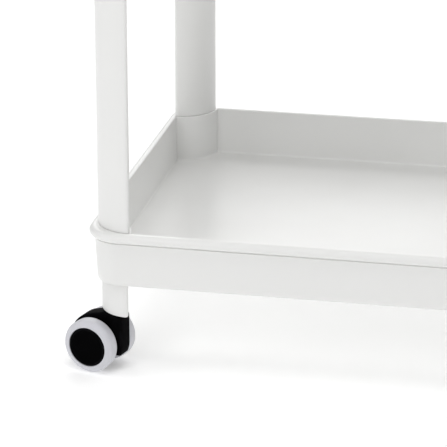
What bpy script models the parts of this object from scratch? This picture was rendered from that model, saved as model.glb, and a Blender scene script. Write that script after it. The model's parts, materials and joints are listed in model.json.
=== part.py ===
"""A rolling three-tier trolley: trays with corner sockets, leaf-section posts and twin-wheel casters.

Units are metres and +Z is up. The origin is on the floor, under the middle of the trays, and the
front of the trolley faces -Y.
"""

import math

import bmesh
import bpy
import numpy as np
from mathutils import Matrix

# Driving dimensions.
WIDTH = 0.500
DEPTH = 0.372
TRAY_HEIGHT = 0.0487
TRAY_BOTTOM = 0.081
TIER_PITCH = 0.340
CORNER_RADIUS = 0.029
POST_RADIUS = 0.034
LEG_RADIUS = 0.0284
SPIGOT_RADIUS = 0.0240
FOOT_RADIUS = 0.0288
POST_INSET = 0.0224
COLUMN_LEDGE = 0.0015
LEG_BOTTOM = 0.052
WHEEL_RADIUS = 0.0236
WHEEL_WIDTH = 0.0132
WHEEL_OFFSET = 0.0169
TRAIL = 0.0154

# Clearances and walls.
GAP = 0.0003
WALL = 0.002
FLOOR_THICKNESS = 0.0045
TIP_RADIUS = 0.0025

# The tray's section: insets from the rim's outer line, and heights above the tray's underside.
BASE_INSET = 0.0085
BODY_INSET = 0.0062
NECK_INSET = 0.0046
COLUMN_INSET = 0.0066
INNER_INSET = 0.0070
INNER_DRAFT = 0.0010
BASE_ROUND = 0.0062
BEAD_RADIUS = 0.0043
FLOOR_FILLET = 0.002
SPIGOT_TOP = 0.015
SOCKET_FLOOR = 0.018
COLUMN_TOP = TRAY_HEIGHT - 0.0001
SHOULDER = 0.008

# Caster parts.
AXLE_RADIUS = 0.003
STEM_RADIUS = 0.004
STEM_TOP = 0.074
STEM_FOOT = 0.036
SLEEVE_TOP = 0.0760
NECK_BOTTOM = 0.066
NECK_HEIGHT = 0.0030
HOOD_RADIUS = 0.0255
HOOD_HALF_WIDTH = 0.0080
HOOD_TOP = 0.0516
HOOD_CLEARANCE = 0.011
SLOPE_START = math.radians(75.0)
TYRE_SEAT = 0.0190
DISC_RADIUS = 0.0172
CAP_SEAT = WHEEL_WIDTH / 2 - 0.0019
HUB_SHOULDER = 0.0070

# Corner name: signs of X and Y, and the heading in degrees in which its caster trails.
CORNERS = {
    "front_left": (-1, -1, 164.0),
    "front_right": (1, -1, 20.0),
    "back_right": (1, 1, -14.0),
    "back_left": (-1, 1, 200.0),
}
TIERS = ("bottom", "middle", "top")

# Facets around each kind of outline.
CORNER_STEPS = 6
LEAF_STEPS = 6
TIP_STEPS = 3
TYRE_SIDES = 26
HUB_SIDES = 20
ROD_SIDES = 12


def clear_scene():
    """Removes whatever the scene holds."""
    for obj in list(bpy.data.objects):
        bpy.data.objects.remove(obj)


def make_material(name, colour, roughness, metallic=0.0):
    """A Principled material of one colour."""
    material = bpy.data.materials.new(name)
    material.use_nodes = True
    shader = material.node_tree.nodes["Principled BSDF"]
    shader.inputs["Base Color"].default_value = (*colour, 1.0)
    shader.inputs["Roughness"].default_value = roughness
    shader.inputs["Metallic"].default_value = metallic
    return material


def make_object(name, mesh, material, parent=None, location=(0.0, 0.0, 0.0)):
    """An object that shows a mesh, linked to the scene."""
    if not mesh.materials:
        mesh.materials.append(material)
    obj = bpy.data.objects.new(name, mesh)
    obj.location = location
    obj.parent = parent
    bpy.context.scene.collection.objects.link(obj)
    return obj


def make_helper(name, mesh):
    """A cutter or a guide, which isn't part of the trolley."""
    helper = bpy.data.objects.new(name, mesh)
    helper.hide_render = True
    helper.display_type = "WIRE"
    bpy.context.scene.collection.objects.link(helper)
    return helper


def loft(name, loops, closed=False):
    """A mesh through loops of equally many points. It ends in caps, or closed joins its two ends."""
    count = len(loops[0])
    rows = len(loops)
    work = bmesh.new()
    points = [[work.verts.new(point) for point in loop] for loop in loops]
    for row in range(rows if closed else rows - 1):
        here = points[row]
        there = points[(row + 1) % rows]
        for i in range(count):
            j = (i + 1) % count
            work.faces.new((here[i], here[j], there[j], there[i]))
    if not closed:
        work.faces.new(points[0][::-1])
        work.faces.new(points[-1])
    bmesh.ops.recalc_face_normals(work, faces=work.faces)
    mesh = bpy.data.meshes.new(name)
    work.to_mesh(mesh)
    work.free()
    mesh.shade_smooth()
    mesh.set_sharp_from_angle(angle=math.radians(35.0))
    return mesh


def join_meshes(name, meshes):
    """One mesh that holds several bodies, for cutters and for what a union joins."""
    work = bmesh.new()
    for mesh in meshes:
        work.from_mesh(mesh)
    mesh = bpy.data.meshes.new(name)
    work.to_mesh(mesh)
    work.free()
    return mesh


def carve(mesh, steps):
    """The mesh after Boolean steps, each an operation and the mesh that it uses."""
    body = make_helper(mesh.name + "_blank", mesh)
    tools = []
    for operation, tool_mesh in steps:
        tool = make_helper(tool_mesh.name, tool_mesh)
        tools.append(tool)
        boolean = body.modifiers.new(operation.title(), "BOOLEAN")
        boolean.operation = operation
        boolean.solver = "EXACT"
        boolean.object = tool
    graph = bpy.context.evaluated_depsgraph_get()
    graph.update()
    carved = bpy.data.meshes.new_from_object(body.evaluated_get(graph))
    carved.materials.clear()
    carved.name = mesh.name
    for helper in [body, *tools]:
        bpy.data.objects.remove(helper)
    carved.shade_smooth()
    carved.set_sharp_from_angle(angle=math.radians(35.0))
    return carved


def circle(radius, sides, flat_down=False):
    """Points on a circle. With flat_down they circumscribe it, with a flat side below."""
    turn = 0.5 if flat_down else 0.0
    reach = radius / math.cos(math.pi / sides) if flat_down else radius
    angles = (np.arange(sides) + turn) * (2 * math.pi / sides) - math.pi / 2
    return np.column_stack((np.cos(angles), np.sin(angles))) * reach


def at_height(outline, z):
    """A flat outline as a loop at one height."""
    return [(x, y, z) for x, y in outline]


def rounded_rectangle(inset):
    """The tray's plan outline, moved in from the rim's outer line."""
    radius = CORNER_RADIUS - inset
    outline = []
    for quarter, (sx, sy) in enumerate(((1, 1), (-1, 1), (-1, -1), (1, -1))):
        middle = np.array((sx * (WIDTH / 2 - CORNER_RADIUS), sy * (DEPTH / 2 - CORNER_RADIUS)))
        for step in range(CORNER_STEPS + 1):
            angle = (quarter + step / CORNER_STEPS) * math.pi / 2
            outline.append(middle + radius * np.array((math.cos(angle), math.sin(angle))))
    return outline


def leaf(radius, tip_radius=TIP_RADIUS, grow=0.0):
    """A leaf section: two facing quarter-circle arcs with rounded tips, long axis along Y.

    grow moves the whole outline outwards and keeps its arcs' centres.
    """
    centre = radius / math.sqrt(2)
    tip = math.sqrt((radius - tip_radius) ** 2 - centre**2)
    spread = math.atan2(tip, centre)
    outline = []
    for side in (1, -1):
        for step in range(LEAF_STEPS + 1):
            angle = spread * (2 * step / LEAF_STEPS - 1)
            reach = radius + grow
            outline.append((side * (reach * math.cos(angle) - centre), side * reach * math.sin(angle)))
        for step in range(1, TIP_STEPS):
            angle = spread + (math.pi - 2 * spread) * step / TIP_STEPS
            reach = tip_radius + grow
            outline.append((side * reach * math.cos(angle), side * (tip + reach * math.sin(angle))))
    return np.array(outline)


def corner_outline(sx, sy, outline):
    """A leaf-shaped outline set in a corner of the trolley, its long axis across the corner."""
    centre = from_corner(sx, sy, POST_INSET)
    angle = math.atan2(sy, sx)
    turn = np.array(((math.cos(angle), math.sin(angle)), (-math.sin(angle), math.cos(angle))))
    return outline @ turn + centre


def tray_profile():
    """Inset and height of the tray's section, from under the floor, over the rim, to the floor's top."""
    profile = [(BASE_INSET, 0.0)]
    for step in (1, 2, 3):
        angle = step * math.pi / 6
        inset = BASE_INSET - (BASE_INSET - BODY_INSET) * math.sin(angle)
        profile.append((inset, BASE_ROUND * (1 - math.cos(angle))))
    bead_foot = math.radians(-64.0)
    bead_middle = TRAY_HEIGHT - BEAD_RADIUS
    profile.append((NECK_INSET, bead_middle + BEAD_RADIUS * math.sin(bead_foot)))
    for step in range(7):
        angle = bead_foot + (math.pi / 2 - bead_foot) * step / 6
        inset = BEAD_RADIUS * (1 - math.cos(angle))
        profile.append((inset, bead_middle + BEAD_RADIUS * math.sin(angle)))
    profile.append((INNER_INSET - 0.0008, TRAY_HEIGHT - 0.0002))
    profile.append((INNER_INSET, TRAY_HEIGHT - 0.0012))
    for step in range(4):
        angle = step * math.pi / 6
        inset = INNER_INSET + INNER_DRAFT + FLOOR_FILLET * (1 - math.cos(angle))
        profile.append((inset, FLOOR_THICKNESS + FLOOR_FILLET * (1 - math.sin(angle))))
    return profile


def from_corner(sx, sy, insets):
    """Plan points of one corner of the trolley from their insets from the rim's two outer lines."""
    return (np.array((WIDTH / 2, DEPTH / 2)) - insets) * (sx, sy)


def column_outline(sx, sy):
    """A corner column's plan: one arc round the post towards the tray, and the line of the tray's wall."""
    middle = POST_INSET - POST_RADIUS / 2
    radius = POST_RADIUS + COLUMN_LEDGE
    start = math.asin((COLUMN_INSET - middle) / radius)
    turn = np.linspace(start, math.pi / 2 - start, 2 * LEAF_STEPS)[:, None]
    inner = middle + radius * np.hstack((np.cos(turn), np.sin(turn)))
    turn = np.linspace(0.0, math.pi / 2, CORNER_STEPS + 1)[:, None]
    outer = CORNER_RADIUS - (CORNER_RADIUS - COLUMN_INSET) * np.hstack((np.cos(turn), np.sin(turn)))
    return from_corner(sx, sy, np.vstack((inner, outer)))


def prism(name, plan, low, high):
    """An upright solid of one plan outline."""
    return loft(name, [at_height(plan, low), at_height(plan, high)])


def tray_mesh():
    """One tray moulding, measured from its own underside. All three tiers use it."""
    loops = [at_height(rounded_rectangle(inset), z) for inset, z in tray_profile()]
    blank = loft("tray", loops)
    columns = []
    pockets = []
    for sx, sy, _ in CORNERS.values():
        socket = corner_outline(sx, sy, leaf(FOOT_RADIUS, grow=GAP))
        pocket = corner_outline(sx, sy, leaf(SPIGOT_RADIUS, grow=GAP))
        columns.append(prism("column", column_outline(sx, sy), FLOOR_THICKNESS - GAP, COLUMN_TOP))
        pockets.append(prism("socket", socket, SOCKET_FLOOR, TRAY_HEIGHT + WALL))
        pockets.append(prism("pocket", pocket, -WALL, SPIGOT_TOP + GAP))
    return carve(
        blank,
        (
            ("UNION", join_meshes("columns", columns)),
            ("DIFFERENCE", join_meshes("pockets", pockets)),
        ),
    )


def make_trays(material):
    """The three trays, stacked at the tier pitch."""
    mesh = tray_mesh()
    for tier, name in enumerate(TIERS):
        height = TRAY_BOTTOM + tier * TIER_PITCH
        make_object(name + "_tray", mesh, material, location=(0.0, 0.0, height))


def stepped_tube(name, sx, sy, sections):
    """A leaf-section tube whose outside steps through (radius, height) sections, with an even wall."""
    outside = []
    inside = []
    for radius, height, inner_height in sections:
        plan = corner_outline(sx, sy, leaf(radius))
        bore = corner_outline(sx, sy, leaf(radius, grow=-WALL))
        outside.append(at_height(plan, height))
        inside.append(at_height(bore, inner_height))
    return loft(name, outside + inside[::-1], closed=True)


def make_posts(material):
    """Four posts for each of the two spaces between the trays, each with a foot and a spigot on top."""
    for tier, level in enumerate(("lower", "upper")):
        base = TRAY_BOTTOM + tier * TIER_PITCH
        foot = base + SOCKET_FLOOR + GAP
        seat = base + COLUMN_TOP + GAP
        shoulder = base + TIER_PITCH - GAP
        top = base + TIER_PITCH + SPIGOT_TOP
        for corner, (sx, sy, _) in CORNERS.items():
            sections = (
                (FOOT_RADIUS, foot, foot),
                (FOOT_RADIUS, seat, seat + WALL),
                (POST_RADIUS, seat, seat + 2 * WALL),
                (POST_RADIUS, shoulder - SHOULDER, shoulder - SHOULDER - WALL),
                (LEG_RADIUS, shoulder, shoulder - SHOULDER),
                (SPIGOT_RADIUS, shoulder, shoulder - WALL),
                (SPIGOT_RADIUS, top, top),
            )
            name = f"{level}_post_{corner}"
            make_object(name, stepped_tube(name, sx, sy, sections), material)


def make_legs(material):
    """Four short legs, each with a spigot in the bottom tray and a caster sleeve below."""
    shoulder = TRAY_BOTTOM - GAP
    top = TRAY_BOTTOM + SPIGOT_TOP
    for corner, (sx, sy, _) in CORNERS.items():
        sections = (
            (LEG_RADIUS, LEG_BOTTOM, LEG_BOTTOM),
            (LEG_RADIUS, shoulder, shoulder - 2 * WALL),
            (SPIGOT_RADIUS, shoulder, shoulder - WALL),
            (SPIGOT_RADIUS, top, top),
        )
        name = "leg_" + corner
        make_object(name, stepped_tube(name, sx, sy, sections), material)


def make_plugs(material):
    """Crowned plugs that close the sockets of the top tray."""
    base = TRAY_BOTTOM + 2 * TIER_PITCH
    seat = COLUMN_TOP + GAP
    crown = (
        (FOOT_RADIUS, 0.0, 0.030),
        (FOOT_RADIUS, 0.0, seat),
        (POST_RADIUS, 0.0, seat),
        (POST_RADIUS, 0.0, seat + 0.0016),
        (POST_RADIUS, -0.0009, seat + 0.0027),
        (POST_RADIUS, -0.0024, seat + 0.0033),
    )
    for corner, (sx, sy, _) in CORNERS.items():
        loops = []
        for radius, grow, height in crown:
            plan = corner_outline(sx, sy, leaf(radius, grow=grow))
            loops.append(at_height(plan, base + height))
        name = "top_plug_" + corner
        make_object(name, loft(name, loops), material)


def turned(name, profile, sides, closed=False, flat_down=False):
    """A body turned about the Y axis from (place along the axis, radius) points."""
    loops = []
    for place, radius in profile:
        ring = circle(radius, sides, flat_down)
        loops.append([(x, place, z) for x, z in ring])
    return loft(name, loops, closed)


def upright(name, profile, sides):
    """A solid turned about the Z axis from (height, radius) points."""
    return loft(name, [at_height(circle(radius, sides), height) for height, radius in profile])


def axle_mesh():
    """The steel pin that both wheels turn on."""
    half = WHEEL_OFFSET + CAP_SEAT - 0.0020
    chamfer = 0.0005
    profile = (
        (-half, AXLE_RADIUS - chamfer),
        (-half + chamfer, AXLE_RADIUS),
        (half - chamfer, AXLE_RADIUS),
        (half, AXLE_RADIUS - chamfer),
    )
    return turned("axle", profile, ROD_SIDES)


def stem_mesh():
    """The steel stem, with a thrust collar above the hood and a necked head that snaps into its sleeve."""
    chamfer = 0.0006
    neck = STEM_RADIUS - 0.0010
    neck_top = NECK_BOTTOM + NECK_HEIGHT
    collar = 0.0055
    profile = (
        (STEM_FOOT, STEM_RADIUS - chamfer),
        (STEM_FOOT + chamfer, STEM_RADIUS),
        (HOOD_TOP + GAP, STEM_RADIUS),
        (HOOD_TOP + GAP, collar),
        (HOOD_TOP + GAP + 0.0012, collar),
        (HOOD_TOP + GAP + 0.0012, STEM_RADIUS),
        (NECK_BOTTOM - chamfer, STEM_RADIUS),
        (NECK_BOTTOM, neck),
        (neck_top, neck),
        (neck_top + chamfer, STEM_RADIUS),
        (STEM_TOP - chamfer, STEM_RADIUS),
        (STEM_TOP, STEM_RADIUS - chamfer),
    )
    return upright("stem", profile, ROD_SIDES)


def sleeve_mesh(heading):
    """The leaf-shaped sleeve in the foot of a leg, bored for the stem, with a lip in the stem's neck."""
    plan = leaf(LEG_RADIUS, grow=-WALL - GAP)
    around = plan / np.linalg.norm(plan, axis=1)[:, None]
    bore = STEM_RADIUS + 0.0004
    lip = STEM_RADIUS - 0.0005
    lip_top = NECK_BOTTOM + NECK_HEIGHT - GAP
    foot = HOOD_TOP + 0.0022
    turn = np.array(((math.cos(heading), math.sin(heading)), (-math.sin(heading), math.cos(heading))))
    loops = [at_height(plan @ turn, foot), at_height(plan @ turn, SLEEVE_TOP)]
    for radius, height in (
        (bore, SLEEVE_TOP),
        (bore, lip_top),
        (lip, lip_top),
        (lip, NECK_BOTTOM + GAP),
        (bore, NECK_BOTTOM + GAP),
        (bore, foot),
    ):
        loops.append(at_height(around @ turn * radius, height))
    return loft("sleeve", loops, closed=True)


def hood_outline(inset):
    """The hood's side outline: round about the axle, squared off under the leg, open below."""
    radius = HOOD_RADIUS - inset
    floor = HOOD_CLEARANCE + inset
    top = HOOD_TOP - inset
    fillet = 0.003
    low = math.asin((WHEEL_RADIUS - floor) / radius)
    outline = []
    for step in range(5):
        angle = math.pi + low * step / 4
        outline.append((TRAIL + radius * math.cos(angle), WHEEL_RADIUS + radius * math.sin(angle)))
    for step in range(12):
        angle = -low + (low + SLOPE_START) * step / 11
        outline.append((TRAIL + radius * math.cos(angle), WHEEL_RADIUS + radius * math.sin(angle)))
    outline.append((TRAIL - 0.0060, top))
    back = TRAIL - radius
    for step in range(4):
        angle = math.radians(90.0 + 30.0 * step)
        outline.append((back + fillet * (1 + math.cos(angle)), top - fillet * (1 - math.sin(angle))))
    return outline


def hood_mesh():
    """The hood between the wheels, bored across for the axle and down for the stem."""
    edge = 0.0012
    rows = (
        (-HOOD_HALF_WIDTH, edge),
        (-HOOD_HALF_WIDTH + edge, 0.0),
        (HOOD_HALF_WIDTH - edge, 0.0),
        (HOOD_HALF_WIDTH, edge),
    )
    loops = [[(x, place, z) for x, z in hood_outline(inset)] for place, inset in rows]
    blank = loft("hood", loops)
    half = 2 * HOOD_HALF_WIDTH
    axle_bore = turned("axle_bore", ((-half, AXLE_RADIUS + GAP), (half, AXLE_RADIUS + GAP)), ROD_SIDES)
    axle_bore.transform(Matrix.Translation((TRAIL, 0.0, WHEEL_RADIUS)))
    depth = ((STEM_FOOT - 2 * GAP, STEM_RADIUS + GAP), (HOOD_TOP + WALL, STEM_RADIUS + GAP))
    stem_bore = upright("stem_bore", depth, ROD_SIDES)
    return carve(blank, (("DIFFERENCE", axle_bore), ("DIFFERENCE", stem_bore)))


def wheel_mesh():
    """The wheel's hard core: a hub bored for the axle, a web and the seat for the tyre."""
    inner = -WHEEL_WIDTH / 2 + 0.0004
    bore = AXLE_RADIUS + GAP
    seat = TYRE_SEAT - GAP
    pocket = CAP_SEAT - 0.0025
    profile = (
        (inner, bore),
        (inner, seat),
        (CAP_SEAT - GAP, seat),
        (CAP_SEAT - GAP, HUB_SHOULDER),
        (pocket, HUB_SHOULDER),
        (pocket, bore),
    )
    return turned("wheel", profile, HUB_SIDES, closed=True)


def hub_cap_mesh():
    """The flat disc pressed into the outside of a wheel, with its spigot."""
    face = WHEEL_WIDTH / 2
    profile = (
        (CAP_SEAT - 0.0015, HUB_SHOULDER - 0.0010),
        (CAP_SEAT, HUB_SHOULDER - 0.0004),
        (CAP_SEAT, DISC_RADIUS),
        (face - 0.0006, DISC_RADIUS),
        (face - 0.0001, DISC_RADIUS - 0.0005),
    )
    return turned("hub_cap", profile, HUB_SIDES)


def tyre_mesh():
    """The soft tyre: a lip round the hub cap, a full round shoulder and a crowned tread."""
    face = WHEEL_WIDTH / 2
    crest = 0.001
    lip = DISC_RADIUS + GAP
    profile = [
        (-face + 0.0004, TYRE_SEAT),
        (CAP_SEAT, TYRE_SEAT),
        (CAP_SEAT, lip),
        (face - 0.0003, lip),
    ]
    for step in range(5):
        angle = step * math.pi / 8
        profile.append(
            (
                crest + (face - crest) * math.cos(angle),
                lip + 0.0008 + (WHEEL_RADIUS - lip - 0.0008) * math.sin(angle),
            )
        )
    profile.append((-face + 0.0020, WHEEL_RADIUS - 0.0006))
    profile.append((-face, WHEEL_RADIUS - 0.0025))
    return turned("tyre", profile, TYRE_SIDES, closed=True, flat_down=True)


def make_casters(plastic, rubber, steel):
    """A caster under each leg, on an empty that stands on its swivel axis."""
    hood = hood_mesh()
    axle = axle_mesh()
    stem = stem_mesh()
    wheel = wheel_mesh()
    cap = hub_cap_mesh()
    tyre = tyre_mesh()
    hub = (TRAIL, 0.0, WHEEL_RADIUS)
    for corner, (sx, sy, heading) in CORNERS.items():
        prefix = f"caster_{corner}_"
        swivel = bpy.data.objects.new(prefix + "swivel", None)
        swivel.location = (*from_corner(sx, sy, POST_INSET), 0.0)
        swivel.rotation_euler.z = math.radians(heading)
        bpy.context.scene.collection.objects.link(swivel)
        diagonal = math.atan2(sy, sx) - math.radians(heading)
        make_object(prefix + "sleeve", sleeve_mesh(diagonal), plastic, swivel)
        make_object(prefix + "stem", stem, steel, swivel)
        make_object(prefix + "hood", hood, plastic, swivel)
        make_object(prefix + "axle", axle, steel, swivel, hub)
        for side, place, turn in (("left", WHEEL_OFFSET, 0.0), ("right", -WHEEL_OFFSET, math.pi)):
            for piece, mesh, material in (
                ("wheel", wheel, plastic),
                ("hub_cap", cap, plastic),
                ("tyre", tyre, rubber),
            ):
                obj = make_object(prefix + side + "_" + piece, mesh, material, swivel)
                obj.location = (TRAIL, place, WHEEL_RADIUS)
                obj.rotation_euler.z = turn


def main():
    """Builds the trolley from the trays outwards."""
    clear_scene()
    white = make_material("white_plastic", (0.86, 0.86, 0.84), 0.28)
    black = make_material("black_plastic", (0.012, 0.012, 0.014), 0.35)
    grey = make_material("grey_rubber", (0.68, 0.68, 0.72), 0.55)
    steel = make_material("bright_steel", (0.62, 0.62, 0.64), 0.30, 1.0)
    make_trays(white)
    make_posts(white)
    make_legs(white)
    make_plugs(white)
    make_casters(black, grey, steel)


main()
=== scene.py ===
"""Looks of a rolling three-tier trolley: white trays and leaf-section posts on twin-wheel casters.

Every piece is a surface worked out with numpy in metres, in the frame's own axes, with its place in
its mesh. The trays, posts, legs and plugs ride on the root body. Each caster's hood and axle ride on
its swivel, and each wheel's tyre, core and disc ride on that wheel.
"""

import json
import logging
import math
from dataclasses import dataclass, field
from enum import Enum

import bmesh
import bpy
import numpy as np
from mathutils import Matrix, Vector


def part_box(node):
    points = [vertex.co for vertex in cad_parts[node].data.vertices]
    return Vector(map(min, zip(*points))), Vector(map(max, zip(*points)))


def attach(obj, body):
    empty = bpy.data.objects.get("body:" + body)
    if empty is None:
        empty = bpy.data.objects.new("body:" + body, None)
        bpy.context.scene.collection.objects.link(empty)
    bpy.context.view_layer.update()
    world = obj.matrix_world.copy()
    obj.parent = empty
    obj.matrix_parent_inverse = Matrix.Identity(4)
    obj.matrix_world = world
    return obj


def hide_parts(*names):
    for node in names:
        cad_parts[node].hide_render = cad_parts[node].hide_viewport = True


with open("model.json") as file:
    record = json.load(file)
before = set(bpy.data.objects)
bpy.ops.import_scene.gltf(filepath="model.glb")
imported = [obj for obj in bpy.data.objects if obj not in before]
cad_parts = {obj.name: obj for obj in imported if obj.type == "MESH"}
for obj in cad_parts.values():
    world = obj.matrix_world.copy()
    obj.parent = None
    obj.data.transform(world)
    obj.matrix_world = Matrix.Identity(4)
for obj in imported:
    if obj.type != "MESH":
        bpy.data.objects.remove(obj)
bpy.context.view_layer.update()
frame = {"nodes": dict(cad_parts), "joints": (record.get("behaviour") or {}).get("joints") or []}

log = logging.getLogger("trolley")

Array = np.ndarray
Colour = tuple[float, float, float]
Socket = bpy.types.NodeSocket

SHARP_ANGLE = math.radians(38.0)
EDGE_CURVATURE = 1200.0
QUARTER = math.pi / 2


# ---------------------------------------------------------------------------------------------
# Outlines and surfaces


@dataclass(frozen=True)
class Outline:
    """A closed plan outline whose every point is a centre plus a radius along a direction.

    Growing the outline lengthens each radius by the growth times that point's give, so arcs keep
    their centres and straight stretches between them move parallel to themselves.
    """

    centres: Array
    directions: Array
    radii: Array
    give: Array

    @staticmethod
    def of_arcs(arcs: list[tuple[float, float, float, float, float, int, float]]) -> "Outline":
        """Joins arcs, with straight stretches between them, into one outline.

        Args:
            arcs: for each arc its centre's two coordinates, its radius, its first and last angle in
                radians, its number of steps and its give.

        Returns:
            The outline, with its points in the order of the arcs.
        """
        centres, directions, radii, give = [], [], [], []
        for across, along, radius, first, last, steps, gives in arcs:
            turn = np.linspace(first, last, steps + 1)
            centres.append(np.tile((across, along), (steps + 1, 1)))
            directions.append(np.column_stack((np.cos(turn), np.sin(turn))))
            radii.append(np.full(steps + 1, radius))
            give.append(np.full(steps + 1, gives))
        return Outline(*(np.concatenate(part) for part in (centres, directions, radii, give)))

    def sections(self, growths: Array, heights: Array) -> Array:
        """A grid of points: row r is the outline grown by growths[r], at heights[r].

        Args:
            growths: one growth for each row.
            heights: one height for each row.

        Returns:
            An array of rows by points by 3.
        """
        reach = self.radii[None] + growths[:, None] * self.give[None]
        plan = self.centres[None] + reach[..., None] * self.directions[None]
        height = np.broadcast_to(heights[:, None, None], (*plan.shape[:2], 1))
        return np.concatenate((plan, height), axis=2)


def rounded_box(half_width: float, half_depth: float, radius: float, steps: int) -> Outline:
    """The outline of a rectangle with round corners: four quarter arcs about the corner centres."""
    signs = ((1, 1), (-1, 1), (-1, -1), (1, -1))
    return Outline.of_arcs(
        [
            (sx * (half_width - radius), sy * (half_depth - radius), radius,
             quarter * QUARTER, (quarter + 1) * QUARTER, steps, 1.0)
            for quarter, (sx, sy) in enumerate(signs)
        ]
    )


def leaf(radius: float, tip: float, arc_steps: int = 30, tip_steps: int = 10) -> Outline:
    """A leaf: two facing arcs of one radius, a quarter turn each, joined by small round tips.

    The arcs' centres lie radius / sqrt(2) either side of the leaf's middle. Each tip's centre lies on
    the long axis, where a circle of the tip's radius touches both arcs from inside.
    """
    middle = radius / math.sqrt(2)
    tip_centre = math.sqrt((radius - tip) ** 2 - middle**2)
    spread = math.atan2(tip_centre, middle)
    return Outline.of_arcs(
        [
            (-middle, 0.0, radius, -spread, spread, arc_steps, 1.0),
            (0.0, tip_centre, tip, spread, math.pi - spread, tip_steps, 1.0),
            (middle, 0.0, radius, math.pi - spread, math.pi + spread, arc_steps, 1.0),
            (0.0, -tip_centre, tip, math.pi + spread, 2 * math.pi - spread, tip_steps, 1.0),
        ]
    )


def turned_plan(points: Array, angle: float, place: tuple[float, float]) -> Array:
    """Points whose first two coordinates are turned about the origin by an angle, then moved to a place."""
    turn = np.array(((math.cos(angle), math.sin(angle)), (-math.sin(angle), math.cos(angle))))
    moved = points.copy()
    moved[..., :2] = points[..., :2] @ turn + np.asarray(place)
    return moved


def arc(across: float, height: float, radius: float, first: float, last: float, steps: int) -> Array:
    """Points (across, height) on an arc, from a first to a last angle in degrees."""
    turn = np.radians(np.linspace(first, last, steps + 1))
    return np.column_stack((across + radius * np.cos(turn), height + radius * np.sin(turn)))


def swept_about_y(profile: Array, sides: int) -> Array:
    """A profile of (place along Y, radius) points carried round the Y axis.

    Point (i, j) is (r_i cos t_j, y_i, r_i sin t_j), with t_j = 2 pi j / sides.
    """
    turn = np.arange(sides) * 2 * math.pi / sides
    places, radii = profile[:, :1], profile[:, 1:]
    return np.stack((radii * np.cos(turn), np.broadcast_to(places, (len(profile), sides)),
                     radii * np.sin(turn)), axis=2)


def swept_about_z(profile: Array, sides: int, centre: tuple[float, float]) -> Array:
    """A profile of (height, radius) points carried round an upright axis through a centre."""
    turn = np.arange(sides) * 2 * math.pi / sides
    heights, radii = profile[:, :1], profile[:, 1:]
    return np.stack((centre[0] + radii * np.cos(turn), centre[1] + radii * np.sin(turn),
                     np.broadcast_to(heights, (len(profile), sides))), axis=2)


@dataclass(frozen=True)
class Shell:
    """One closed surface: a grid of points whose columns wrap round.

    With ring set, its rows wrap round too. Otherwise a flat face closes it at each end.
    """

    grid: Array
    ring: bool = False

    def faces(self, start: int) -> list[list[int]]:
        """The shell's faces as lists of point numbers, the first point being number start."""
        rows, columns = self.grid.shape[:2]
        index = np.arange(rows * columns).reshape(rows, columns) + start
        here = index if self.ring else index[:-1]
        there = np.roll(index, -1, axis=0) if self.ring else index[1:]
        quads = np.stack((here, np.roll(here, -1, axis=1), np.roll(there, -1, axis=1), there), axis=2)
        listed = quads.reshape(-1, 4).tolist()
        if not self.ring:
            listed += [index[0, ::-1].tolist(), index[-1].tolist()]
        return listed


def surface_mesh(name: str, shells: list[Shell]) -> bpy.types.Mesh:
    """A smooth mesh of closed shells, with its faces outwards and its edge attribute worked out.

    Args:
        name: the mesh's name.
        shells: the closed surfaces that it holds.

    Returns:
        The mesh.
    """
    points, faces = [], []
    for shell in shells:
        faces += shell.faces(sum(len(part) for part in points))
        points.append(shell.grid.reshape(-1, 3))
    mesh = bpy.data.meshes.new(name)
    mesh.from_pydata(np.concatenate(points), [], faces)
    work = bmesh.new()
    work.from_mesh(mesh)
    bmesh.ops.recalc_face_normals(work, faces=work.faces)
    work.to_mesh(mesh)
    work.free()
    mesh.shade_smooth()
    mesh.set_sharp_from_angle(angle=SHARP_ANGLE)
    mark_edges(mesh)
    return mesh


def mark_edges(mesh: bpy.types.Mesh) -> None:
    """Stores how sharply each point bulges, from 0 on a flat to 1 at EDGE_CURVATURE per metre and above.

    Along a mesh edge the bulge is the change of normal in the edge's direction over the edge's length,
    which is the curvature. A point takes the largest value of its edges.
    """
    count = len(mesh.vertices)
    places = np.empty(count * 3)
    normals = np.empty(count * 3)
    ends = np.empty(len(mesh.edges) * 2, np.int64)
    mesh.vertices.foreach_get("co", places)
    mesh.vertex_normals.foreach_get("vector", normals)
    mesh.edges.foreach_get("vertices", ends)
    places, normals, ends = places.reshape(-1, 3), normals.reshape(-1, 3), ends.reshape(-1, 2)
    along = places[ends[:, 1]] - places[ends[:, 0]]
    turned = normals[ends[:, 1]] - normals[ends[:, 0]]
    bulge = (along * turned).sum(1) / np.maximum((along**2).sum(1), 1e-12)
    edge = np.zeros(count)
    for side in (0, 1):
        np.maximum.at(edge, ends[:, side], np.clip(bulge / EDGE_CURVATURE, 0.0, 1.0))
    mesh.attributes.new("edge", "FLOAT", "POINT").data.foreach_set("value", edge.astype(np.float32))


# ---------------------------------------------------------------------------------------------
# Finishes


class Effect(Enum):
    """The surface effects that several finishes share, by the name of their node group."""

    TONE = "moulding_tone"
    GRAIN = "moulded_grain"
    MARKS = "handling_marks"
    DUST = "settled_dust"
    EDGE = "rubbed_edge"


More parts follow.
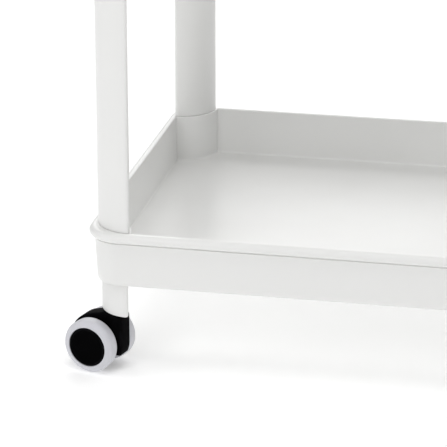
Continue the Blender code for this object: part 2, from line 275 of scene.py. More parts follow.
class EffectKit:
    """Builds each shared node group once, when a finish first asks for it."""

    def __init__(self) -> None:
        """Starts with no groups built."""
        self._built: dict[Effect, bpy.types.NodeTree] = {}

    def tree(self, effect: Effect) -> bpy.types.NodeTree:
        """The node group of an effect, built at its first use."""
        if effect not in self._built:
            makers = (self._tone, self._grain, self._marks, self._dust, self._edge)
            maker = dict(zip(Effect, makers))[effect]
            self._built[effect] = maker(effect.value)
        return self._built[effect]

    @staticmethod
    def _blank(
        name: str, inputs: dict[str, str], outputs: dict[str, str]
    ) -> tuple[bpy.types.NodeTree, bpy.types.Node, bpy.types.Node]:
        """An empty group with its sockets.

        Args:
            name: the group's name.
            inputs: socket type by input name.
            outputs: socket type by output name.

        Returns:
            The tree, its input node and its output node.
        """
        tree = bpy.data.node_groups.new(name, "ShaderNodeTree")
        for sockets, way in ((inputs, "INPUT"), (outputs, "OUTPUT")):
            for label, kind in sockets.items():
                tree.interface.new_socket(label, in_out=way, socket_type="NodeSocket" + kind)
        return tree, tree.nodes.new("NodeGroupInput"), tree.nodes.new("NodeGroupOutput")

    @staticmethod
    def _noise(
        tree: bpy.types.NodeTree, scale: float, detail: float, stretch: Colour = (1.0, 1.0, 1.0)
    ) -> bpy.types.Node:
        """A noise on object coordinates, with its pattern stretched by a factor along each axis."""
        place = tree.nodes.new("ShaderNodeTexCoord")
        mapping = tree.nodes.new("ShaderNodeMapping")
        mapping.inputs["Scale"].default_value = stretch
        noise = tree.nodes.new("ShaderNodeTexNoise")
        noise.inputs["Scale"].default_value = scale
        noise.inputs["Detail"].default_value = detail
        tree.links.new(place.outputs["Object"], mapping.inputs["Vector"])
        tree.links.new(mapping.outputs["Vector"], noise.inputs["Vector"])
        return noise

    @staticmethod
    def _math(
        tree: bpy.types.NodeTree, operation: str, first: Socket | float, second: Socket | float
    ) -> Socket:
        """A Math node's output. Each argument is a socket or a number."""
        node = tree.nodes.new("ShaderNodeMath")
        node.operation = operation
        for socket, value in zip(node.inputs, (first, second)):
            if isinstance(value, (int, float)):
                socket.default_value = value
            else:
                tree.links.new(value, socket)
        return node.outputs[0]

    @staticmethod
    def _ramp(tree: bpy.types.NodeTree, value: Socket, low: float, high: float) -> Socket:
        """A value mapped smoothly from low..high to 0..1."""
        node = tree.nodes.new("ShaderNodeMapRange")
        node.interpolation_type = "SMOOTHSTEP"
        node.inputs["From Min"].default_value = low
        node.inputs["From Max"].default_value = high
        tree.links.new(value, node.inputs["Value"])
        return node.outputs["Result"]

    @staticmethod
    def _mix(tree: bpy.types.NodeTree, factor: Socket, first: Socket, second: Socket) -> Socket:
        """A colour between two colour sockets."""
        node = tree.nodes.new("ShaderNodeMix")
        node.data_type = "RGBA"
        tree.links.new(factor, node.inputs["Factor"])
        tree.links.new(first, node.inputs["A"])
        tree.links.new(second, node.inputs["B"])
        return node.outputs["Result"]

    def _tone(self, name: str) -> bpy.types.NodeTree:
        """Broad clouds of slightly lighter and darker plastic, as uneven cooling leaves."""
        tree, given, made = self._blank(name, {"Colour": "Color", "Spread": "Float"}, {"Colour": "Color"})
        cloud = self._noise(tree, 9.0, 3.0)
        fleck = self._noise(tree, 260.0, 2.0)
        swing = self._math(tree, "SUBTRACT", cloud.outputs["Fac"], 0.5)
        small = self._math(tree, "MULTIPLY", self._math(tree, "SUBTRACT", fleck.outputs["Fac"], 0.5), 0.35)
        swing = self._math(tree, "ADD", swing, small)
        value = self._math(tree, "MULTIPLY_ADD", swing, given.outputs["Spread"])
        value.node.inputs[2].default_value = 1.0
        tint = tree.nodes.new("ShaderNodeHueSaturation")
        tree.links.new(given.outputs["Colour"], tint.inputs["Color"])
        tree.links.new(value, tint.inputs["Value"])
        tree.links.new(tint.outputs["Color"], made.inputs["Colour"])
        return tree

    def _grain(self, name: str) -> bpy.types.NodeTree:
        """The skin of a moulding: a low orange peel under a finer grain, as a height in metres."""
        tree, given, made = self._blank(name, {"Peel": "Float", "Grain": "Float"}, {"Height": "Float"})
        peel = self._noise(tree, 190.0, 1.5)
        grain = self._noise(tree, 1500.0, 3.0)
        low = self._math(tree, "MULTIPLY", peel.outputs["Fac"], given.outputs["Peel"])
        fine = self._math(tree, "MULTIPLY", grain.outputs["Fac"], given.outputs["Grain"])
        tree.links.new(self._math(tree, "ADD", low, fine), made.inputs["Height"])
        return tree

    def _marks(self, name: str) -> bpy.types.NodeTree:
        """Wiped haze and thin scuffs that make a glossy skin rougher in places."""
        tree, given, made = self._blank(
            name, {"Roughness": "Float", "Haze": "Float", "Scuffs": "Float"}, {"Roughness": "Float"}
        )
        haze = self._ramp(tree, self._noise(tree, 14.0, 4.0).outputs["Fac"], 0.35, 0.75)
        scuff = self._noise(tree, 60.0, 5.0, (1.0, 9.0, 0.6))
        line = self._ramp(tree, scuff.outputs["Fac"], 0.66, 0.74)
        added = self._math(tree, "MULTIPLY", haze, given.outputs["Haze"])
        more = self._math(tree, "MULTIPLY", line, given.outputs["Scuffs"])
        total = self._math(tree, "ADD", given.outputs["Roughness"], self._math(tree, "ADD", added, more))
        tree.links.new(total, made.inputs["Roughness"])
        return tree

    def _dust(self, name: str) -> bpy.types.NodeTree:
        """A thin broken film of dust on whatever faces up."""
        tree, given, made = self._blank(
            name, {"Colour": "Color", "Dust": "Color", "Amount": "Float"}, {"Colour": "Color"}
        )
        face = tree.nodes.new("ShaderNodeNewGeometry")
        split = tree.nodes.new("ShaderNodeSeparateXYZ")
        tree.links.new(face.outputs["Normal"], split.inputs["Vector"])
        up = self._ramp(tree, split.outputs["Z"], 0.35, 0.95)
        patch = self._ramp(tree, self._noise(tree, 22.0, 6.0).outputs["Fac"], 0.38, 0.7)
        film = self._math(tree, "MULTIPLY", self._math(tree, "MULTIPLY", up, patch), given.outputs["Amount"])
        mixed = self._mix(tree, film, given.outputs["Colour"], given.outputs["Dust"])
        tree.links.new(mixed, made.inputs["Colour"])
        return tree

    def _edge(self, name: str) -> bpy.types.NodeTree:
        """Rubbed edges, from each mesh's own edge attribute broken up by a noise."""
        tree, given, made = self._blank(
            name, {"Colour": "Color", "Rubbed": "Color", "Amount": "Float"}, {"Colour": "Color"}
        )
        bulge = tree.nodes.new("ShaderNodeAttribute")
        bulge.attribute_name = "edge"
        broken = self._ramp(tree, self._noise(tree, 120.0, 5.0).outputs["Fac"], 0.3, 0.65)
        rub = self._math(tree, "MULTIPLY", self._ramp(tree, bulge.outputs["Fac"], 0.15, 0.8), broken)
        rub = self._math(tree, "MULTIPLY", rub, given.outputs["Amount"])
        mixed = self._mix(tree, rub, given.outputs["Colour"], given.outputs["Rubbed"])
        tree.links.new(mixed, made.inputs["Colour"])
        return tree


@dataclass(frozen=True)
class Finish:
    """A finish: the colour and gloss of a material and how much of each surface effect it shows."""

    name: str
    slot: str
    colour: Colour
    roughness: float
    metallic: float = 0.0
    ior: float = 1.49
    specular: float = 0.5
    tone_spread: float = 0.03
    peel: float = 0.00002
    grain: float = 0.000004
    bump: float = 0.35
    haze: float = 0.06
    scuffs: float = 0.05
    dust_colour: Colour = (0.62, 0.60, 0.56)
    dust: float = 0.03
    rubbed_colour: Colour = (0.9, 0.9, 0.9)
    rubbed: float = 0.1

    def material(self, kit: EffectKit) -> bpy.types.Material:
        """The finish as a node material.

        Args:
            kit: the shared effect groups.

        Returns:
            A new material.
        """
        material = bpy.data.materials.new(self.name)
        material.use_nodes = True
        tree = material.node_tree
        shader = tree.nodes["Principled BSDF"]
        shader.inputs["Metallic"].default_value = self.metallic
        shader.inputs["IOR"].default_value = self.ior
        shader.inputs["Specular IOR Level"].default_value = self.specular
        tone = self._effect(tree, kit, Effect.TONE, Spread=self.tone_spread)
        tone.inputs["Colour"].default_value = (*self.colour, 1.0)
        edge = self._effect(tree, kit, Effect.EDGE, Amount=self.rubbed)
        edge.inputs["Rubbed"].default_value = (*self.rubbed_colour, 1.0)
        dust = self._effect(tree, kit, Effect.DUST, Amount=self.dust)
        dust.inputs["Dust"].default_value = (*self.dust_colour, 1.0)
        marks = self._effect(
            tree, kit, Effect.MARKS, Roughness=self.roughness, Haze=self.haze, Scuffs=self.scuffs
        )
        grain = self._effect(tree, kit, Effect.GRAIN, Peel=self.peel, Grain=self.grain)
        bump = tree.nodes.new("ShaderNodeBump")
        bump.inputs["Strength"].default_value = self.bump
        bump.inputs["Distance"].default_value = 1.0
        tree.links.new(tone.outputs["Colour"], edge.inputs["Colour"])
        tree.links.new(edge.outputs["Colour"], dust.inputs["Colour"])
        tree.links.new(dust.outputs["Colour"], shader.inputs["Base Color"])
        tree.links.new(marks.outputs["Roughness"], shader.inputs["Roughness"])
        tree.links.new(grain.outputs["Height"], bump.inputs["Height"])
        tree.links.new(bump.outputs["Normal"], shader.inputs["Normal"])
        return material

    @staticmethod
    def _effect(
        tree: bpy.types.NodeTree, kit: EffectKit, effect: Effect, **values: float
    ) -> bpy.types.Node:
        """A group node of an effect in a material, with its plain inputs set."""
        node = tree.nodes.new("ShaderNodeGroup")
        node.node_tree = kit.tree(effect)
        for label, value in values.items():
            node.inputs[label].default_value = value
        return node


WHITE_MOULDING = Finish(
    name="white_moulding",
    slot="white_plastic",
    colour=(0.86, 0.86, 0.848),
    roughness=0.30,
    tone_spread=0.022,
    haze=0.07,
    scuffs=0.04,
    rubbed_colour=(0.90, 0.90, 0.89),
    rubbed=0.25,
)
BLACK_NYLON = Finish(
    name="black_nylon",
    slot="black_plastic",
    colour=(0.0016, 0.0016, 0.0019),
    roughness=0.42,
    specular=0.006,
    tone_spread=0.25,
    grain=0.00002,
    haze=0.10,
    scuffs=0.12,
    dust=0.0012,
    rubbed_colour=(0.020, 0.020, 0.023),
    rubbed=0.25,
)
PALE_TYRE = Finish(
    name="pale_grey_tyre",
    slot="grey_tyre",
    colour=(0.64, 0.642, 0.682),
    roughness=0.42,
    ior=1.50,
    tone_spread=0.04,
    grain=0.000012,
    haze=0.10,
    scuffs=0.08,
    dust_colour=(0.50, 0.49, 0.50),
    dust=0.05,
    rubbed_colour=(0.74, 0.74, 0.79),
    rubbed=0.15,
)
PLATED_STEEL = Finish(
    name="plated_steel",
    slot="steel",
    colour=(0.60, 0.60, 0.62),
    roughness=0.24,
    metallic=1.0,
    tone_spread=0.10,
    peel=0.000004,
    grain=0.000008,
    haze=0.14,
    scuffs=0.16,
    rubbed_colour=(0.74, 0.74, 0.76),
    rubbed=0.4,
)


# ---------------------------------------------------------------------------------------------
# Placing pieces


class Corner(Enum):
    """The trolley's corners, by the signs of X and Y."""

    FRONT_LEFT = (-1, -1)
    FRONT_RIGHT = (1, -1)
    BACK_RIGHT = (1, 1)
    BACK_LEFT = (-1, 1)

    @property
    def label(self) -> str:
        """The corner's name as the CAD nodes spell it."""
        return self.name.lower()

    @property
    def diagonal(self) -> float:
        """The heading, in radians, from the trolley's middle out through the corner."""
        return math.atan2(self.value[1], self.value[0])


class Workshop:
    """Holds one material for each finish, and puts finished pieces into the scene."""

    def __init__(self) -> None:
        """Starts with no materials made."""
        self._kit = EffectKit()
        self._materials: dict[str, bpy.types.Material] = {}

    def material(self, finish: Finish) -> bpy.types.Material:
        """The finish's material, made at its first use."""
        if finish.name not in self._materials:
            self._materials[finish.name] = finish.material(self._kit)
        return self._materials[finish.name]

    def add(self, name: str, mesh: bpy.types.Mesh, finish: Finish, body: str, node: str) -> None:
        """Adds a piece that rides on a body and stands for a CAD node.

        Args:
            name: the piece's name.
            mesh: its mesh, with its place in it.
            finish: its finish.
            body: the body that it moves with.
            node: the CAD node that it replaces.
        """
        piece = bpy.data.objects.new(name, mesh)
        mesh.materials.append(self.material(finish))
        bpy.context.scene.collection.objects.link(piece)
        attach(piece, body)
        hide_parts(node)
        log.info("%s: %d faces on %s", name, len(mesh.polygons), body)

    def dress(self, node: str, finish: Finish) -> None:
        """Gives a CAD node that stays in view a finish."""
        shown = frame["nodes"][node]
        shown.data.materials.clear()
        shown.data.materials.append(self.material(finish))
        log.info("%s: dressed in %s", node, finish.name)


# ---------------------------------------------------------------------------------------------
# The trolley's upper works


@dataclass
class Trays:
    """The three tray mouldings, each a swept rim, wall and floor with a column in every corner.

    Insets are measured from the rim's outer line, and heights from the tray's underside.
    """

    corner_radius: float = 0.0290
    bead_radius: float = 0.0043
    base_inset: float = 0.0085
    body_inset: float = 0.0062
    base_round: float = 0.0062
    neck_inset: float = 0.0046
    groove_depth: float = 0.0015
    groove_round: float = 0.0006
    inner_inset: float = 0.0069
    inner_round: float = 0.0011
    foot_inset: float = 0.0079
    floor_fillet: float = 0.0016
    floor_top: float = 0.0045
    post_inset: float = 0.0224
    post_radius: float = 0.0340
    column_ledge: float = 0.0015
    column_inset: float = 0.0066
    column_round: float = 0.0007
    column_fillet: float = 0.0020
    column_drop: float = 0.0001
    column_root: float = 0.0010
    flat_margin: float = 0.0005
    draft: float = 0.02
    tiers: tuple[str, ...] = ("bottom", "middle", "top")
    corner_steps: int = 28
    half_width: float = field(init=False)
    half_depth: float = field(init=False)
    height: float = field(init=False)

    def __post_init__(self) -> None:
        """Takes the tray's plan and height from the CAD tray."""
        low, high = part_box("bottom_tray")
        self.half_width = (high.x - low.x) / 2
        self.half_depth = (high.y - low.y) / 2
        self.height = high.z - low.z

    def underside(self, tier: str) -> float:
        """The height of a tier's underside above the floor."""
        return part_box(tier + "_tray")[0].z

    def seat(self, tier: str) -> float:
        """The height of a tier's column tops above the floor."""
        return self.underside(tier) + self.height - self.column_drop

    def corner_place(self, corner: Corner) -> tuple[float, float]:
        """Where the middle of a corner's post stands."""
        sx, sy = corner.value
        return sx * (self.half_width - self.post_inset), sy * (self.half_depth - self.post_inset)

    def section(self) -> Array:
        """The tray's section as (inset, height) points from under the floor round to the floor's top.

        Up the outside it is an elliptic base round, a drafted wall, a groove under the rim and the
        half-round bead. Down the inside it is a small round, a drafted wall and the floor's fillet.
        """
        turn = np.linspace(0.0, QUARTER, 13)
        base = np.column_stack(
            (
                self.base_inset - (self.base_inset - self.body_inset) * np.sin(turn),
                self.base_round * (1 - np.cos(turn)),
            )
        )
        bead_middle = self.height - self.bead_radius
        bead = arc(self.bead_radius, bead_middle, self.bead_radius, 272.0, 90.0, 30)
        groove = self.groove_round
        deep = self.neck_inset + self.groove_depth - groove
        under = arc(deep, bead[0, 1] - groove, groove, -75.0, 90.0, 8)
        lip = arc(self.neck_inset + groove, under[0, 1] - 1.4 * groove, groove, 180.0, 105.0, 5)
        top = self.height - self.inner_round
        inner = arc(self.inner_inset - self.inner_round, top, self.inner_round, 88.0, 0.0, 7)
        fillet_middle = self.floor_top + self.floor_fillet
        fillet = self.floor_fillet
        foot = arc(self.foot_inset + fillet, fillet_middle, fillet, 180.0, 270.0, 8)
        margin = self.flat_margin
        lean = self.draft * margin
        return np.vstack(
            (
                (self.base_inset + margin, 0.0),
                base,
                base[-1] + (-lean, margin),
                lip[0] - (0.0, margin),
                lip,
                under,
                bead,
                inner,
                inner[-1] + (lean, -margin),
                foot[0] + (-lean, margin),
                foot,
                (foot[-1, 0] + margin, self.floor_top),
            )
        )

    def column(self, corner: Corner, base: float) -> Array:
        """One corner column: an arc round the post towards the tray, closed along the tray's wall.

        The arc flares out at the floor in a quarter-round fillet and turns in at the top in another.
        """
        middle = self.post_inset - self.post_radius / 2
        radius = self.post_radius + self.column_ledge
        start = math.asin((self.column_inset - middle) / radius)
        outline = Outline.of_arcs(
            [
                (middle, middle, radius, start, QUARTER - start, 40, 1.0),
                (self.corner_radius, self.corner_radius, self.corner_radius - self.column_inset,
                 math.pi, 3 * QUARTER, 16, 0.0),
            ]
        )
        flare = arc(self.column_fillet, self.floor_top + self.column_fillet, self.column_fillet,
                    270.0, 180.0, 8)
        crown_foot = self.height - self.column_drop - self.column_round
        crown = arc(-self.column_round, crown_foot, self.column_round, 0.0, 90.0, 6)
        rows = np.vstack(
            (
                (self.column_fillet, self.floor_top - self.column_root),
                flare,
                (0.0, flare[-1, 1] + self.flat_margin),
                (0.0, crown_foot - self.flat_margin),
                crown,
                (-3 * self.column_round, crown[-1, 1]),
            )
        )
        grid = outline.sections(rows[:, 0], rows[:, 1] + base)
        sx, sy = corner.value
        grid[..., 0] = sx * (self.half_width - grid[..., 0])
        grid[..., 1] = sy * (self.half_depth - grid[..., 1])
        return grid

    def build(self, shop: Workshop) -> None:
        """Adds the three trays."""
        section = self.section()
        plan = rounded_box(self.half_width, self.half_depth, self.corner_radius, self.corner_steps)
        for tier in self.tiers:
            base = self.underside(tier)
            shells = [Shell(plan.sections(-section[:, 0], section[:, 1] + base))]
            shells += [Shell(self.column(corner, base)) for corner in Corner]
            name = tier + "_tray"
            shop.add("moulded_" + name, surface_mesh(name, shells), WHITE_MOULDING, "root", name)


@dataclass
class Uprights:
    """The posts, legs and plugs: leaf sections that step in to a spigot at each joint."""

    trays: Trays
    post_radius: float = 0.0340
    leg_radius: float = 0.0284
    foot_radius: float = 0.0288
    spigot_radius: float = 0.0240
    tip: float = 0.0025
    wall: float = 0.0020
    gap: float = 0.0003
    edge_round: float = 0.0005
    seat_round: float = 0.0002
    shoulder: float = 0.0080
    crown: float = 0.0033
    crown_round: float = 0.0024

    def _leaf(self, radius: float, corner: Corner, rows: Array) -> Array:
        """A leaf standing in a corner, through (growth, height) rows."""
        grid = leaf(radius, self.tip).sections(rows[:, 0], rows[:, 1])
        return turned_plan(grid, corner.diagonal, self.trays.corner_place(corner))

    def _bore(self, radius: float, corner: Corner, low: float, high: float) -> Array:
        """The straight inside of a tube of leaf section, from its top end down to its bottom end."""
        return self._leaf(radius, corner, np.array(((-self.wall, high), (-self.wall, low))))

    def _foot(self, corner: Corner, low: float, seat: float) -> Array:
        """The outside of the stub that stands in a socket, from its eased lower end up to the seat."""
        small = self.edge_round
        rows = np.array(((-small, low), (0.0, low + small), (0.0, seat)))
        return self._leaf(self.foot_radius, corner, rows)

    def _post(self, name: str, corner: Corner) -> bpy.types.Mesh:
        """One post: a foot in the socket below, the full section, a round shoulder and a top spigot."""
        low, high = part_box(name)
        seat = self._seat(name)
        shoulder = self._shoulder(name)
        small = self.edge_round
        foot = self._foot(corner, low.z, seat)
        crisp = self.seat_round
        edge = arc(-crisp, seat + crisp, crisp, 270.0, 360.0, 4)
        straight = np.array(((0.0, seat + 4 * crisp), (0.0, shoulder - self.shoulder - small)))
        shaft = self._leaf(self.post_radius, corner, np.vstack(((-4 * small, seat), edge, straight)))
        turn = np.linspace(0.0, QUARTER, 12)[:, None, None]
        wide = self._leaf(self.post_radius, corner, np.array(((0.0, shoulder),)))
        slim = self._leaf(self.leg_radius, corner, np.array(((0.0, shoulder),)))
        neck = wide * np.cos(turn) + slim * (1 - np.cos(turn))
        neck[..., 2] = shoulder - self.shoulder * (1 - np.sin(turn[..., 0]))
        top = np.array(((0.0, shoulder), (0.0, high.z - small), (-small, high.z)))
        spigot = self._leaf(self.spigot_radius, corner, top)
        bore = self._bore(self.spigot_radius, corner, low.z, high.z)
        grid = np.concatenate((foot, shaft, neck, spigot, bore))
        return surface_mesh(name, [Shell(grid, ring=True)])

    def _seat(self, name: str) -> float:
        """The height at which a post's full section stands on its tray's column."""
        tier = "bottom" if name.startswith("lower") else "middle"
        return self.trays.seat(tier) + self.gap

    def _shoulder(self, name: str) -> float:
        """The height at which a post meets the underside of the tray above."""
        tier = "middle" if name.startswith("lower") else "top"
        return self.trays.underside(tier) - self.gap

    def _leg(self, name: str, corner: Corner) -> bpy.types.Mesh:
        """One leg: a short leaf-section tube with a soft lower edge and a spigot in the tray."""
        low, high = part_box(name)
        shoulder = self.trays.underside("bottom") - self.gap
        small = 2 * self.edge_round
        edge = arc(-small, low.z + small, small, 270.0, 360.0, 6)
        ends = np.array(((0.0, low.z + 2 * small), (0.0, shoulder - small), (-small / 2, shoulder)))
        tube = self._leaf(self.leg_radius, corner, np.vstack((edge, ends)))
        spigot = self._leaf(self.spigot_radius, corner, np.array(((0.0, shoulder), (0.0, high.z))))
        narrow = self._bore(self.spigot_radius, corner, shoulder - self.wall, high.z)
        wide = self._bore(self.leg_radius, corner, low.z + small / 2, shoulder - 2 * self.wall)
        mouth = self._leaf(self.leg_radius, corner, np.array(((-self.wall + small / 4, low.z),)))
        grid = np.concatenate((tube, spigot, narrow, wide, mouth))
        return surface_mesh(name, [Shell(grid, ring=True)])

    def _plug(self, name: str, corner: Corner) -> bpy.types.Mesh:
        """One plug: a stub in the top tray's socket under a low cap with a round edge."""
        low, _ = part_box(name)
        seat = self.trays.seat("top") + self.gap
        small = self.edge_round
        stub = self._foot(corner, low.z, seat)
        edge = arc(-small, seat + small, small, 270.0, 360.0, 4)
        top = seat + self.crown
        brow = arc(-self.crown_round, top - self.crown_round, self.crown_round, 0.0, 90.0, 10)
        flat = np.array(((-1.4 * self.crown_round, top),))
        cap = self._leaf(self.post_radius, corner, np.vstack((((-4 * small, seat),), edge, brow, flat)))
        return surface_mesh(name, [Shell(np.concatenate((stub, cap)))])

    def build(self, shop: Workshop) -> None:
        """Adds the posts, the legs and the plugs of every corner."""
        makers = (
            ("lower_post_", self._post),
            ("upper_post_", self._post),
            ("leg_", self._leg),
            ("top_plug_", self._plug),
        )
        for corner in Corner:
            for prefix, maker in makers:
                node = prefix + corner.label
                shop.add("moulded_" + node, maker(node, corner), WHITE_MOULDING, "root", node)


# ---------------------------------------------------------------------------------------------
# The casters


@dataclass(frozen=True)
class WheelPlace:
    """Where a wheel stands: its centre, and the unit vector out of its disc's face."""

    centre: Array
    outward: Array

    def carried(self, grid: Array) -> Array:
        """A grid whose +Y points out of the disc, carried to the wheel's place."""
        forward = np.array((self.outward[1], -self.outward[0], 0.0))
        basis = np.stack((forward, self.outward, np.array((0.0, 0.0, 1.0))))
        return grid @ basis + self.centre


@dataclass
class Caster:
    """One twin-wheel caster: hood, axle, stem and sleeve, and two wheels of core, tyre and disc."""

    corner: Corner
    radius: float = 0.0236
    half_width: float = 0.0066
    disc_radius: float = 0.0172
    tyre_seat: float = 0.0190
    cap_seat: float = 0.0047
    hub_shoulder: float = 0.0070
    soft: float = 0.0004
    axle_radius: float = 0.0030
    stem_radius: float = 0.0040
    stem_chamfer: float = 0.0006
    collar_radius: float = 0.0055
    collar_height: float = 0.0012
    neck_bottom: float = 0.0660
    neck_height: float = 0.0030
    neck_depth: float = 0.0010
    axle_chamfer: float = 0.0005
    axle_inset: float = 0.0020
    pin_sides: int = 40
    web_inset: float = 0.0014
    pocket_depth: float = 0.0025
    spigot_depth: float = 0.0015
    disc_round: float = 0.0008
    disc_inset: float = 0.0001
    hood_radius: float = 0.0253
    hood_half_width: float = 0.0079
    hood_top: float = 0.0516
    hood_clearance: float = 0.0140
    hood_brow: float = 0.0060
    brow_lean: float = 0.26
    slope_start: float = math.radians(75.0)
    hood_edge: float = 0.0016
    hood_fillet: float = 0.0034
    tyre_nose: float = 0.0009
    ridge_back: float = 0.0046
    ridge_round: float = 0.0034
    inner_round: float = 0.0022
    tread_drop: float = 0.0001
    dish: tuple[tuple[float, float], ...] = ((0.0002, 0.86), (0.0004, 0.5), (0.00045, 0.04))
    gap: float = 0.0003
    sides: int = 96
    axis_place: Array = field(init=False)
    hub: Array = field(init=False)
    outward: Array = field(init=False)
    offset: float = field(init=False)

    def __post_init__(self) -> None:
        """Takes the swivel axis and the wheels' axle from the frame's joints."""
        joints = {joint["name"]: joint for joint in frame["joints"]}
        swivel = joints["swivel_" + self.corner.label]
        left = joints[f"roll_{self.corner.label}_left"]
        right = joints[f"roll_{self.corner.label}_right"]
        self.axis_place = np.array(swivel["pos_m"])
        ends = np.array((left["pos_m"], right["pos_m"]))
        self.hub = ends.mean(axis=0)
        self.outward = np.array(left["axis"])
        self.offset = float(np.linalg.norm(ends[0] - ends[1])) / 2

    @property
    def prefix(self) -> str:
        """The start of the caster's node names."""
        return f"caster_{self.corner.label}_"

    def _hood(self) -> bpy.types.Mesh:
        """The hood: a side outline round the axle, squared off under the leg, carried across.

        Its rows run across the caster. The outer rows shrink by a quarter round for soft edges.
        """
        drop = math.asin((self.radius - self.hood_clearance) / self.hood_radius)
        back = -self.hood_radius + self.hood_fillet
        rim = self.hood_radius
        corner_height = self.hood_top - self.radius - self.hood_fillet
        outline = Outline.of_arcs(
            [
                (0.0, 0.0, rim, -drop, self.slope_start, 48, 1.0),
                (-self.hood_brow - self.brow_lean * self.hood_fillet, corner_height, self.hood_fillet,
                 self.slope_start, QUARTER, 5, 1.0),
                (back, corner_height, self.hood_fillet, QUARTER, math.pi, 10, 1.0),
                (0.0, 0.0, rim, math.pi, math.pi + drop, 14, 1.0),
            ]
        )
        edge = arc(-self.hood_edge, 0.0, self.hood_edge, 0.0, 90.0, 6)
        half = self.hood_half_width - self.hood_edge
        places = np.concatenate((-half - edge[::-1, 1], half + edge[:, 1]))
        growths = np.concatenate((edge[::-1, 0], edge[:, 0]))
        grid = outline.sections(growths, places)[..., (0, 2, 1)]
        return surface_mesh("hood", [Shell(WheelPlace(self.hub, self.outward).carried(grid))])

    def _tyre_profile(self) -> Array:
        """The tyre's closed section as (place, radius): lip, sloping shoulder, soft ridge and tread."""
        face = self.half_width
        lip = self.disc_radius + self.gap
        nose = arc(face - self.tyre_nose, lip + self.tyre_nose, self.tyre_nose, -90.0, 10.0, 7)
        crest = self.radius - self.ridge_round
        ridge = arc(face - self.ridge_back, crest, self.ridge_round, 34.0, 88.0, 12)
        inner = arc(-face + self.inner_round, self.radius - 1.1 * self.inner_round, self.inner_round,
                    92.0, 180.0, 10)
        seat = self.tyre_seat
        return np.vstack(
            (
                nose,
                ridge,
                ((-face * 0.35, self.radius - self.tread_drop),),
                inner,
                ((-face + self.soft, seat), (self.cap_seat, seat), (self.cap_seat, lip)),
            )
        )

    def _tyre(self, place: WheelPlace) -> bpy.types.Mesh:
        """The soft tyre round one wheel."""
        grid = swept_about_y(self._tyre_profile(), self.sides)
        return surface_mesh("tyre", [Shell(place.carried(grid), ring=True)])

    def _disc(self, place: WheelPlace) -> bpy.types.Mesh:
        """The flat disc in the wheel's face: a soft rim round a very shallow dish.

        The dish's points are depths below the face, at parts of the disc's radius.
        """
        face = self.half_width - self.disc_inset
        rim = arc(face - self.disc_round, self.disc_radius - self.disc_round, self.disc_round, 90.0, 10.0, 6)
        profile = np.vstack(
            (
                (self.cap_seat - self.spigot_depth, self.hub_shoulder - 0.0010),
                (self.cap_seat, self.hub_shoulder - self.soft),
                (self.cap_seat, self.disc_radius),
                rim,
                [(face - depth, self.disc_radius * part) for depth, part in self.dish],
            )
        )
        return surface_mesh("disc", [Shell(place.carried(swept_about_y(profile, self.sides)))])

    def _core(self, place: WheelPlace) -> bpy.types.Mesh:
        """The hard core inside the tyre: a hub, a dished web and the seat, bored for the axle."""
        inner = -self.half_width + self.soft
        bore = self.axle_radius + self.gap
        seat = self.tyre_seat - self.gap
        web = inner + self.web_inset
        hub = self.hub_shoulder
        outer = self.cap_seat - self.gap
        pocket = self.cap_seat - self.pocket_depth
        profile = np.array(
            (
                (inner, bore),
                (inner, hub - 2 * self.soft),
                (inner + self.soft, hub - self.soft),
                (web, hub),
                (web, seat - 0.0030),
                (inner + self.soft, seat - 0.0024),
                (inner, seat - 0.0020),
                (inner, seat - self.soft),
                (inner + self.soft, seat),
                (outer, seat),
                (outer, hub),
                (pocket, hub),
                (pocket, bore),
            )
        )
        return surface_mesh("core", [Shell(place.carried(swept_about_y(profile, self.sides)), ring=True)])

    def _axle(self) -> bpy.types.Mesh:
        """The steel pin through the hood and both wheels."""
        half = self.offset + self.cap_seat - self.axle_inset
        chamfer = self.axle_chamfer
        profile = np.array(
            (
                (-half, self.axle_radius - chamfer),
                (-half + chamfer, self.axle_radius),
                (half - chamfer, self.axle_radius),
                (half, self.axle_radius - chamfer),
            )
        )
        grid = WheelPlace(self.hub, self.outward).carried(swept_about_y(profile, self.pin_sides))
        return surface_mesh("axle", [Shell(grid)])

    def _stem(self) -> bpy.types.Mesh:
        """The steel stem, with a thrust collar and a necked head, turned about the swivel axis."""
        low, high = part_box(self.prefix + "stem")
        radius, chamfer = self.stem_radius, self.stem_chamfer
        neck = radius - self.neck_depth
        seat = self.hood_top + self.gap
        collar_top = seat + self.collar_height
        neck_top = self.neck_bottom + self.neck_height
        profile = np.array(
            (
                (low.z, radius - chamfer),
                (low.z + chamfer, radius),
                (seat, radius),
                (seat, self.collar_radius),
                (collar_top, self.collar_radius),
                (collar_top, radius),
                (self.neck_bottom - chamfer, radius),
                (self.neck_bottom, neck),
                (neck_top, neck),
                (neck_top + chamfer, radius),
                (high.z - chamfer, radius),
                (high.z, radius - chamfer),
            )
        )
        centre = tuple(self.axis_place[:2])
        return surface_mesh("stem", [Shell(swept_about_z(profile, self.pin_sides, centre))])

    def build(self, shop: Workshop) -> None:
        """Adds the caster's pieces."""
        swivel = "swivel_" + self.corner.label
        shop.add(self.prefix + "hood_shell", self._hood(), BLACK_NYLON, swivel, self.prefix + "hood")
        shop.add(self.prefix + "axle_pin", self._axle(), PLATED_STEEL, swivel, self.prefix + "axle")
        shop.add(self.prefix + "stem_pin", self._stem(), PLATED_STEEL, "root", self.prefix + "stem")
        shop.dress(self.prefix + "sleeve", BLACK_NYLON)
        for side, sign in (("left", 1), ("right", -1)):
            place = WheelPlace(self.hub + sign * self.offset * self.outward, sign * self.outward)
            body = f"wheel_{self.corner.label}_{side}"
            start = self.prefix + side + "_"
            shop.add(start + "soft_tyre", self._tyre(place), PALE_TYRE, body, start + "tyre")
            shop.add(start + "disc", self._disc(place), BLACK_NYLON, body, start + "hub_cap")
            shop.add(start + "core", self._core(place), BLACK_NYLON, body, start + "wheel")


# ---------------------------------------------------------------------------------------------
# The studio


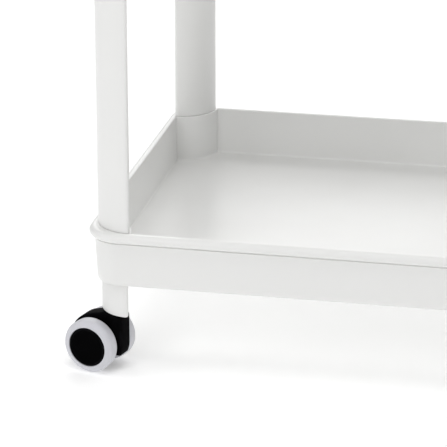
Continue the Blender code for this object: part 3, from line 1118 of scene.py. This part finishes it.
@dataclass(frozen=True)
class SoftBox:
    """A square soft light on a sphere about the trolley, facing its middle.

    Its heading is in degrees from the front, positive towards the right, and its climb is in degrees
    above the floor.
    """

    name: str
    heading: float
    climb: float
    distance: float
    size: float
    power: float
    aim: Colour = (0.0, 0.0, 0.25)

    def place(self) -> None:
        """Adds the light to the scene."""
        heading, climb = math.radians(self.heading), math.radians(self.climb)
        toward = (
            math.sin(heading) * math.cos(climb),
            -math.cos(heading) * math.cos(climb),
            math.sin(climb),
        )
        light = bpy.data.lights.new(self.name, "AREA")
        light.size = self.size
        light.energy = self.power
        lamp = bpy.data.objects.new(self.name, light)
        lamp.location = np.asarray(self.aim) + self.distance * np.asarray(toward)
        lamp.rotation_euler = (QUARTER - climb, 0.0, heading)
        bpy.context.scene.collection.objects.link(lamp)


@dataclass
class Studio:
    """A pale floor, soft lights and the camera."""

    floor_half: float = 14.0
    floor_colour: Colour = (0.93, 0.93, 0.93)
    floor_glow: float = 0.27
    ambient: float = 0.22
    backdrop: float = 1.0
    softboxes: tuple[SoftBox, ...] = (
        SoftBox("key_softbox", -20.0, 26.0, 3.2, 1.6, 20.0),
        SoftBox("fill_softbox", 48.0, 20.0, 3.2, 1.6, 9.0),
        SoftBox("left_softbox", -80.0, 30.0, 3.2, 1.6, 15.0),
        SoftBox("back_softbox", 180.0, 33.0, 3.2, 3.6, 72.0),
        SoftBox("top_softbox", 0.0, 72.0, 2.8, 1.4, 24.0),
    )
    camera_place: Colour = (0.2545, -2.0500, 0.8435)
    camera_yaw: float = 11.60
    camera_drop: float = 20.10
    lens: float = 196.7

    def _floor(self) -> None:
        """A large flat floor of matt pale board that glows a little."""
        half = self.floor_half
        corners = [(-half, -half, 0.0), (half, -half, 0.0), (half, half, 0.0), (-half, half, 0.0)]
        mesh = bpy.data.meshes.new("studio_floor")
        mesh.from_pydata(corners, [], [[0, 1, 2, 3]])
        material = bpy.data.materials.new("pale_board")
        material.use_nodes = True
        tree = material.node_tree
        shader = tree.nodes["Principled BSDF"]
        plain = {"Roughness": 0.9, "Specular IOR Level": 0.1, "Emission Strength": self.floor_glow}
        for label, value in plain.items():
            shader.inputs[label].default_value = value
        shader.inputs["Emission Color"].default_value = (1.0, 1.0, 1.0, 1.0)
        place = tree.nodes.new("ShaderNodeTexCoord")
        fibre = tree.nodes.new("ShaderNodeTexNoise")
        fibre.inputs["Scale"].default_value = 40.0
        ramp = tree.nodes.new("ShaderNodeValToRGB")
        ramp.color_ramp.elements[0].color = (*(0.985 * part for part in self.floor_colour), 1.0)
        ramp.color_ramp.elements[1].color = (*self.floor_colour, 1.0)
        tree.links.new(place.outputs["Object"], fibre.inputs["Vector"])
        tree.links.new(fibre.outputs["Fac"], ramp.inputs["Fac"])
        tree.links.new(ramp.outputs["Color"], shader.inputs["Base Color"])
        mesh.materials.append(material)
        floor = bpy.data.objects.new("studio_floor", mesh)
        bpy.context.scene.collection.objects.link(floor)

    def _world(self) -> None:
        """Even ambient light, with a white backdrop where the camera sees past the floor."""
        world = bpy.data.worlds.new("studio")
        world.use_nodes = True
        tree = world.node_tree
        background = tree.nodes["Background"]
        background.inputs["Color"].default_value = (1.0, 1.0, 1.0, 1.0)
        rays = tree.nodes.new("ShaderNodeLightPath")
        level = tree.nodes.new("ShaderNodeMapRange")
        level.inputs["To Min"].default_value = self.ambient
        level.inputs["To Max"].default_value = self.backdrop
        tree.links.new(rays.outputs["Is Camera Ray"], level.inputs["Value"])
        tree.links.new(level.outputs["Result"], background.inputs["Strength"])
        bpy.context.scene.world = world

    def _camera(self) -> None:
        """The camera, level from side to side, looking down and a little to the left."""
        data = bpy.data.cameras.new("camera")
        data.lens = self.lens
        data.dof.use_dof = False
        camera = bpy.data.objects.new("camera", data)
        camera.location = self.camera_place
        drop, yaw = math.radians(90.0 - self.camera_drop), math.radians(self.camera_yaw)
        camera.rotation_euler = (drop, 0.0, yaw)
        bpy.context.scene.collection.objects.link(camera)
        bpy.context.scene.camera = camera

    def build(self) -> None:
        """Sets up the floor, the lights and the camera."""
        self._camera()
        self._floor()
        self._world()
        for box in self.softboxes:
            box.place()
        bpy.context.scene.view_settings.view_transform = "Standard"


def main() -> None:
    """Builds the trolley's pieces round the frame."""
    logging.basicConfig(level=logging.INFO, format="%(message)s")
    Studio().build()
    shop = Workshop()
    trays = Trays()
    trays.build(shop)
    Uprights(trays).build(shop)
    for corner in Corner:
        Caster(corner).build(shop)


if __name__ == "__main__":
    main()
